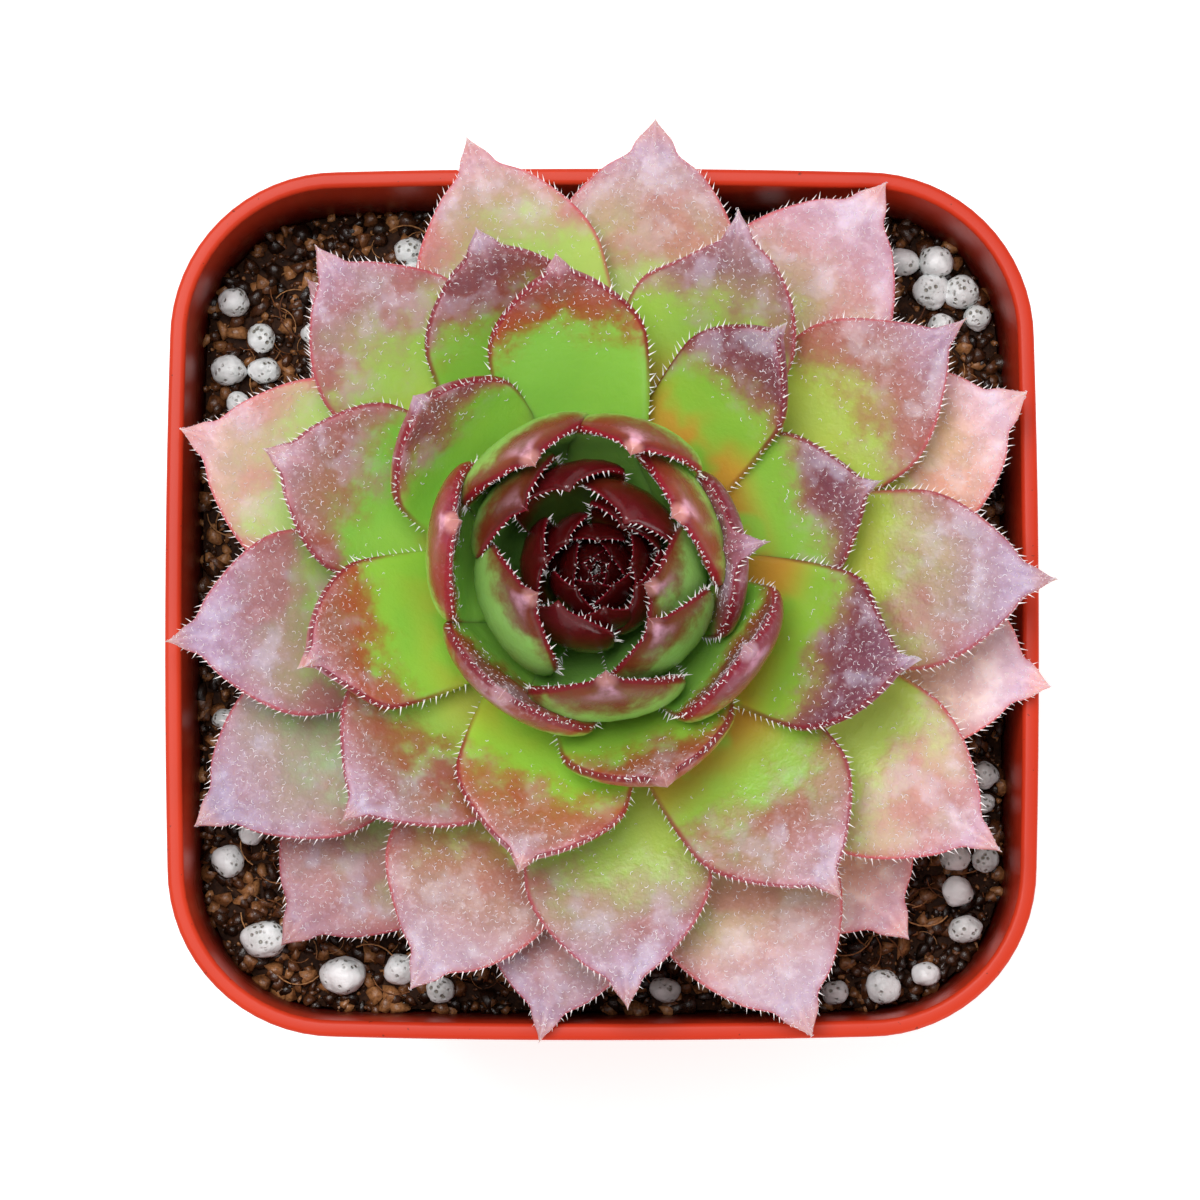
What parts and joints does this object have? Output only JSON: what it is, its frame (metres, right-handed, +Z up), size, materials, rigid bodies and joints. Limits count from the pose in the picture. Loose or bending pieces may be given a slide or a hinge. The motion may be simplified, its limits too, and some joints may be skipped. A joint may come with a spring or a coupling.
{
  "type": "potted houseleek",
  "caption": "Small square plastic pot of dark mix with perlite grains, holding a houseleek rosette of pointed fleshy leaves round a dark red heart.",
  "frame": {"origin": "middle of the pot's underside, on the surface that the pot stands on", "axes": "+Z up; X and Y square to the pot's sides, with -Y the side at the bottom of the reference view from above"},
  "size_m": [0.0556, 0.058, 0.0656],
  "materials": {
    "terracotta_plastic": "satin moulded terracotta orange",
    "potting_mix": "damp dark fibres and chips, with white perlite grains",
    "green_leaf": "fleshy lime green leaf with pink and purple points and fine white hairs",
    "wine_red_leaf": "fleshy wine red leaf with a white hair fringe"
  },
  "bodies": {
    "root": {"pot": "terracotta_plastic", "soil": "potting_mix", "rosette": "green_leaf", "heart": "wine_red_leaf"}
  },
  "joints": []
}
